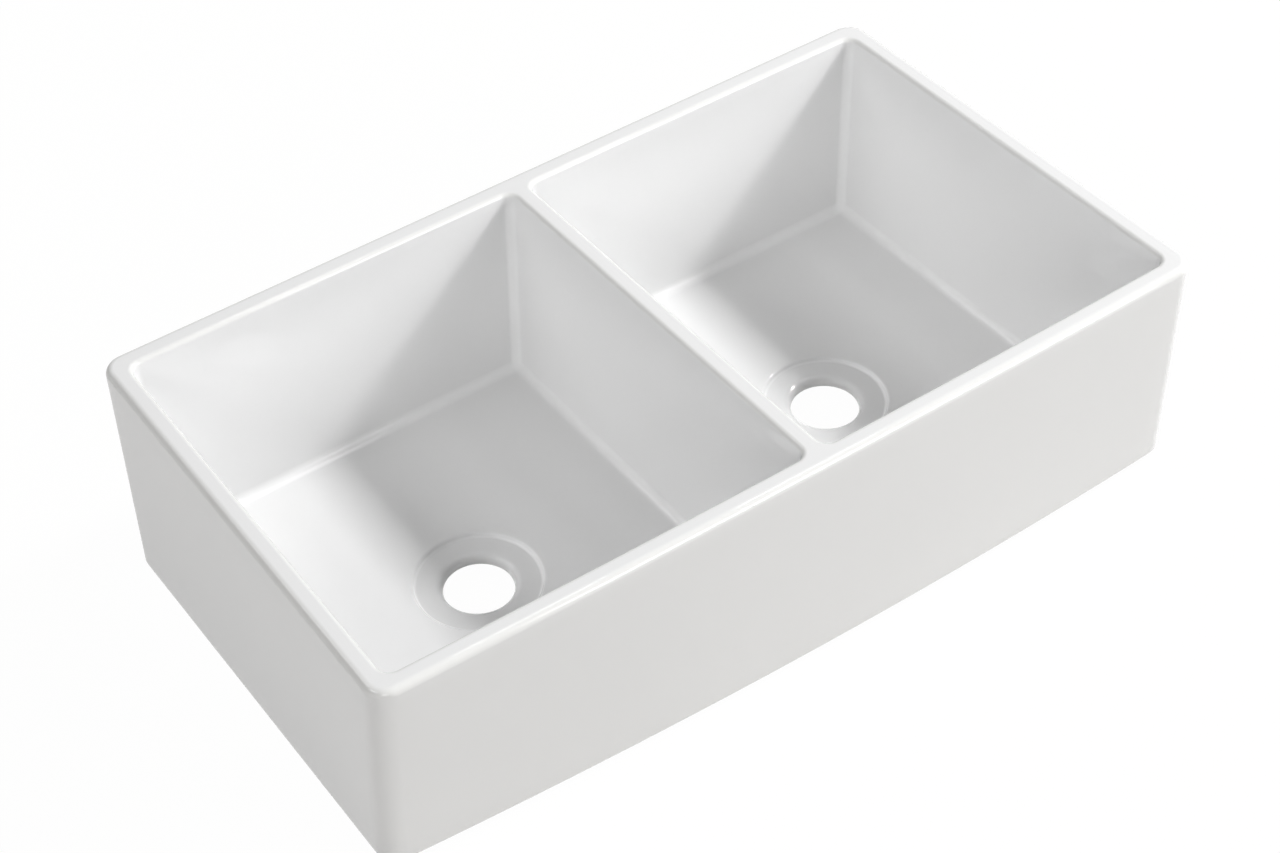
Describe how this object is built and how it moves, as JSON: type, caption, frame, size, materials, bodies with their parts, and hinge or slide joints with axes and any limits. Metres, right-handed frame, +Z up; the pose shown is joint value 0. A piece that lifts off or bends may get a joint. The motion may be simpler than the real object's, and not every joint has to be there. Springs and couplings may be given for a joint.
{
  "type": "farmhouse apron front sink",
  "caption": "White glazed fireclay farmhouse sink with a plain apron front, a full-height divider between side-by-side bowls, and recessed drain openings.",
  "frame": {"origin": "middle of the base, on the surface that the sink stands on", "axes": "+X along the apron to the user's right, +Y from the apron to the back wall, +Z up"},
  "size_m": [0.8382, 0.474, 0.2286],
  "materials": {
    "white_glaze": "glossy white fired glaze"
  },
  "bodies": {
    "root": {"sink_body": "white_glaze"}
  },
  "joints": []
}
